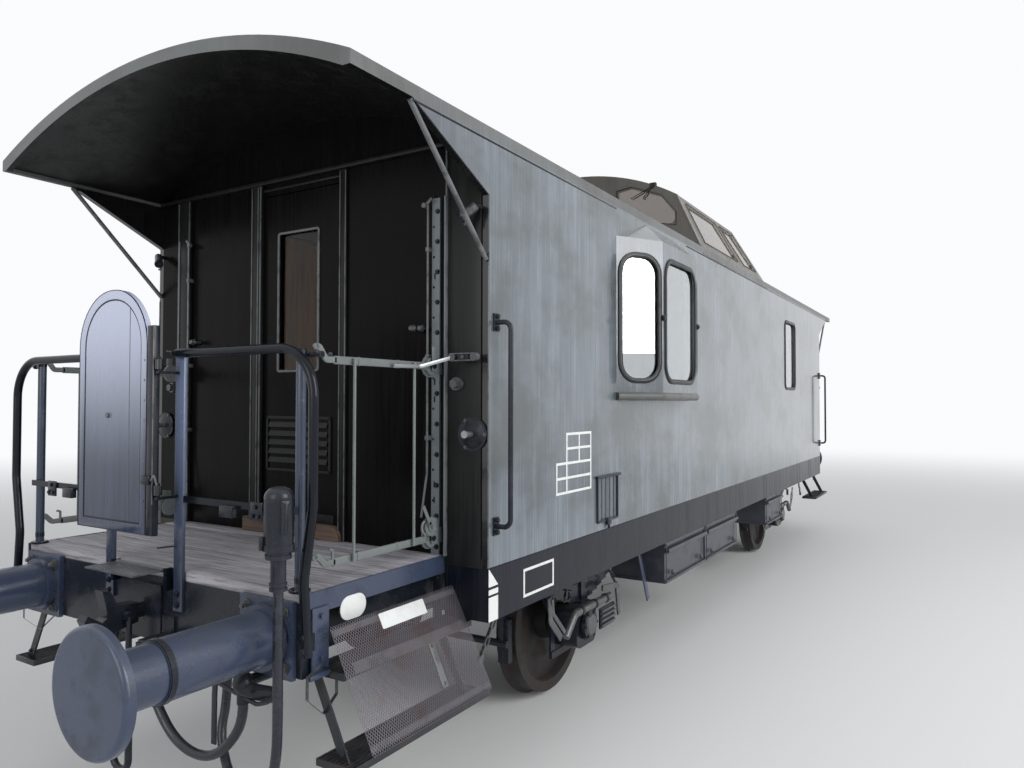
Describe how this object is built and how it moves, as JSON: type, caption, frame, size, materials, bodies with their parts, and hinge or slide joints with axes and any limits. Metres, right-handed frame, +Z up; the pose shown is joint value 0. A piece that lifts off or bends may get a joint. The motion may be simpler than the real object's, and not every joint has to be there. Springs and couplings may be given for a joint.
{
  "type": "two-axle railway baggage and guard's van",
  "caption": "Two-axle steel railway van with open end platforms under the roof, side lookout bays, a roof cupola, folding side gates, steps, buffers and screw couplings.",
  "frame": {"origin": "middle of the van in plan, at the level of the wheel-flange tips, 28 mm below the rail top", "axes": "+X along the van to its far end in the picture, +Y to the side away from the camera, +Z up"},
  "size_m": [12.72, 3.1, 4.2709],
  "materials": {
    "body_paint": "semi-gloss dark olive grey",
    "roof_paint": "satin dark olive grey",
    "band_paint": "semi-gloss blue-black",
    "bulkhead_paint": "semi-gloss near black",
    "frame_paint": "gloss blue-black",
    "gate_paint": "gloss grey-green",
    "timber": "weathered bare boards",
    "glass": "clear",
    "wheel_steel": "rolled and rusty",
    "hose_rubber": "black hose",
    "plug_shell": "satin blue-black",
    "rusty_mesh": "rusted expanded metal"
  },
  "bodies": {
    "van": {"air_tanks": "frame_paint", "axle_guards": "frame_paint", "axleboxes": "frame_paint", "bay_left": "body_paint", "bay_right": "body_paint", "body_floor": "timber", "brake_gear": "frame_paint", "brake_hose": "hose_rubber", "brake_hose_head": "frame_paint", "buffers": "frame_paint", "cupola": "roof_paint", "drawgear": "frame_paint", "end_railing_far": "frame_paint", "end_railing_near": "frame_paint", "end_wall_far": "bulkhead_paint", "end_wall_near": "bulkhead_paint", "equipment_boxes": "frame_paint", "gate_rails": "gate_paint", "glazing": "glass", "grab_handles": "frame_paint", "headstocks": "frame_paint", "jumper_cable": "hose_rubber", "jumper_plug": "plug_shell", "pipe_cocks": "frame_paint", "platform_boards": "timber", "platform_edges": "frame_paint", "roof": "roof_paint", "side_wall_left": "body_paint", "side_wall_right": "body_paint", "skirts": "band_paint", "springs": "frame_paint", "step_screen": "rusty_mesh", "steps": "frame_paint", "underframe": "frame_paint"},
    "wheelset_near": {"wheelset_near": "wheel_steel"},
    "wheelset_far": {"wheelset_far": "wheel_steel"},
    "end_door_near": {"end_door_near": "bulkhead_paint", "door_pane_near": "glass"},
    "end_door_far": {"end_door_far": "bulkhead_paint", "door_pane_far": "glass"},
    "gangway_leaf_near": {"gangway_leaf_near": "frame_paint"},
    "gangway_leaf_far": {"gangway_leaf_far": "frame_paint"},
    "bridge_plate_near": {"bridge_plate_near": "frame_paint"},
    "bridge_plate_far": {"bridge_plate_far": "frame_paint"},
    "gate_near_left_top_bar": {"gate_near_left_top_bar": "gate_paint"},
    "gate_near_left_bottom_bar": {"gate_near_left_bottom_bar": "gate_paint"},
    "gate_near_left_inner_rod": {"gate_near_left_inner_rod": "gate_paint"},
    "gate_near_left_outer_rod": {"gate_near_left_outer_rod": "gate_paint"},
    "gate_near_right_top_bar": {"gate_near_right_top_bar": "gate_paint"},
    "gate_near_right_bottom_bar": {"gate_near_right_bottom_bar": "gate_paint"},
    "gate_near_right_inner_rod": {"gate_near_right_inner_rod": "gate_paint"},
    "gate_near_right_outer_rod": {"gate_near_right_outer_rod": "gate_paint"},
    "gate_far_left_top_bar": {"gate_far_left_top_bar": "gate_paint"},
    "gate_far_left_bottom_bar": {"gate_far_left_bottom_bar": "gate_paint"},
    "gate_far_left_inner_rod": {"gate_far_left_inner_rod": "gate_paint"},
    "gate_far_left_outer_rod": {"gate_far_left_outer_rod": "gate_paint"},
    "gate_far_right_top_bar": {"gate_far_right_top_bar": "gate_paint"},
    "gate_far_right_bottom_bar": {"gate_far_right_bottom_bar": "gate_paint"},
    "gate_far_right_inner_rod": {"gate_far_right_inner_rod": "gate_paint"},
    "gate_far_right_outer_rod": {"gate_far_right_outer_rod": "gate_paint"}
  },
  "joints": [
    {"name": "wheelset_near_roll", "type": "hinge", "parent": "van", "child": "wheelset_near", "pos_m": [-3, 0, 0.528], "axis": [0, 1, 0], "continuous": true},
    {"name": "wheelset_far_roll", "type": "hinge", "parent": "van", "child": "wheelset_far", "pos_m": [3, 0, 0.528], "axis": [0, 1, 0], "continuous": true},
    {"name": "end_door_near_swing", "type": "hinge", "parent": "van", "child": "end_door_near", "pos_m": [-4.581, 0.325, 2.3], "axis": [0, 0, 1], "range_deg": [0, 95]},
    {"name": "end_door_far_swing", "type": "hinge", "parent": "van", "child": "end_door_far", "pos_m": [4.581, -0.325, 2.3], "axis": [0, 0, 1], "range_deg": [0, 95]},
    {"name": "gangway_leaf_near_swing", "type": "hinge", "parent": "van", "child": "gangway_leaf_near", "pos_m": [-5.7, -0.26, 2], "axis": [0, 0, 1], "range_deg": [0, 100]},
    {"name": "gangway_leaf_far_swing", "type": "hinge", "parent": "van", "child": "gangway_leaf_far", "pos_m": [5.7, 0.26, 2], "axis": [0, 0, 1], "range_deg": [0, 100]},
    {"name": "bridge_plate_near_fold", "type": "hinge", "parent": "van", "child": "bridge_plate_near", "pos_m": [-5.614, 0, 1.281], "axis": [0, 1, 0], "range_deg": [0, 90]},
    {"name": "bridge_plate_far_fold", "type": "hinge", "parent": "van", "child": "bridge_plate_far", "pos_m": [5.614, 0, 1.281], "axis": [0, -1, 0], "range_deg": [0, 90]},
    {"name": "gate_near_left_lift", "type": "hinge", "parent": "van", "child": "gate_near_left_top_bar", "pos_m": [-4.743, -1.071, 2.246], "axis": [0, 1, 0], "range_deg": [0, 80]},
    {"name": "gate_near_left_bottom", "type": "hinge", "parent": "van", "child": "gate_near_left_bottom_bar", "pos_m": [-4.743, -1.071, 1.383], "axis": [0, 1, 0], "range_deg": [0, 80]},
    {"name": "gate_near_left_inner_rod_pin", "type": "hinge", "parent": "gate_near_left_top_bar", "child": "gate_near_left_inner_rod", "pos_m": [-4.9, -1.071, 2.246], "axis": [0, 1, 0], "range_deg": [-80, 0]},
    {"name": "gate_near_left_outer_rod_pin", "type": "hinge", "parent": "gate_near_left_top_bar", "child": "gate_near_left_outer_rod", "pos_m": [-5.315, -1.071, 2.246], "axis": [0, 1, 0], "range_deg": [-80, 0]},
    {"name": "gate_near_right_lift", "type": "hinge", "parent": "van", "child": "gate_near_right_top_bar", "pos_m": [-4.743, 1.071, 2.246], "axis": [0, 1, 0], "range_deg": [0, 80]},
    {"name": "gate_near_right_bottom", "type": "hinge", "parent": "van", "child": "gate_near_right_bottom_bar", "pos_m": [-4.743, 1.071, 1.383], "axis": [0, 1, 0], "range_deg": [0, 80]},
    {"name": "gate_near_right_inner_rod_pin", "type": "hinge", "parent": "gate_near_right_top_bar", "child": "gate_near_right_inner_rod", "pos_m": [-4.9, 1.071, 2.246], "axis": [0, 1, 0], "range_deg": [-80, 0]},
    {"name": "gate_near_right_outer_rod_pin", "type": "hinge", "parent": "gate_near_right_top_bar", "child": "gate_near_right_outer_rod", "pos_m": [-5.315, 1.071, 2.246], "axis": [0, 1, 0], "range_deg": [-80, 0]},
    {"name": "gate_far_left_lift", "type": "hinge", "parent": "van", "child": "gate_far_left_top_bar", "pos_m": [4.743, -1.071, 2.246], "axis": [0, -1, 0], "range_deg": [0, 80]},
    {"name": "gate_far_left_bottom", "type": "hinge", "parent": "van", "child": "gate_far_left_bottom_bar", "pos_m": [4.743, -1.071, 1.383], "axis": [0, -1, 0], "range_deg": [0, 80]},
    {"name": "gate_far_left_inner_rod_pin", "type": "hinge", "parent": "gate_far_left_top_bar", "child": "gate_far_left_inner_rod", "pos_m": [4.9, -1.071, 2.246], "axis": [0, -1, 0], "range_deg": [-80, 0]},
    {"name": "gate_far_left_outer_rod_pin", "type": "hinge", "parent": "gate_far_left_top_bar", "child": "gate_far_left_outer_rod", "pos_m": [5.315, -1.071, 2.246], "axis": [0, -1, 0], "range_deg": [-80, 0]},
    {"name": "gate_far_right_lift", "type": "hinge", "parent": "van", "child": "gate_far_right_top_bar", "pos_m": [4.743, 1.071, 2.246], "axis": [0, -1, 0], "range_deg": [0, 80]},
    {"name": "gate_far_right_bottom", "type": "hinge", "parent": "van", "child": "gate_far_right_bottom_bar", "pos_m": [4.743, 1.071, 1.383], "axis": [0, -1, 0], "range_deg": [0, 80]},
    {"name": "gate_far_right_inner_rod_pin", "type": "hinge", "parent": "gate_far_right_top_bar", "child": "gate_far_right_inner_rod", "pos_m": [4.9, 1.071, 2.246], "axis": [0, -1, 0], "range_deg": [-80, 0]},
    {"name": "gate_far_right_outer_rod_pin", "type": "hinge", "parent": "gate_far_right_top_bar", "child": "gate_far_right_outer_rod", "pos_m": [5.315, 1.071, 2.246], "axis": [0, -1, 0], "range_deg": [-80, 0]}
  ],
  "couplings": [
    {"joint": "gate_near_left_bottom", "follows": "gate_near_left_lift", "ratio": 1},
    {"joint": "gate_near_left_inner_rod_pin", "follows": "gate_near_left_lift", "ratio": -1},
    {"joint": "gate_near_left_outer_rod_pin", "follows": "gate_near_left_lift", "ratio": -1},
    {"joint": "gate_near_right_bottom", "follows": "gate_near_right_lift", "ratio": 1},
    {"joint": "gate_near_right_inner_rod_pin", "follows": "gate_near_right_lift", "ratio": -1},
    {"joint": "gate_near_right_outer_rod_pin", "follows": "gate_near_right_lift", "ratio": -1},
    {"joint": "gate_far_left_bottom", "follows": "gate_far_left_lift", "ratio": 1},
    {"joint": "gate_far_left_inner_rod_pin", "follows": "gate_far_left_lift", "ratio": -1},
    {"joint": "gate_far_left_outer_rod_pin", "follows": "gate_far_left_lift", "ratio": -1},
    {"joint": "gate_far_right_bottom", "follows": "gate_far_right_lift", "ratio": 1},
    {"joint": "gate_far_right_inner_rod_pin", "follows": "gate_far_right_lift", "ratio": -1},
    {"joint": "gate_far_right_outer_rod_pin", "follows": "gate_far_right_lift", "ratio": -1}
  ]
}
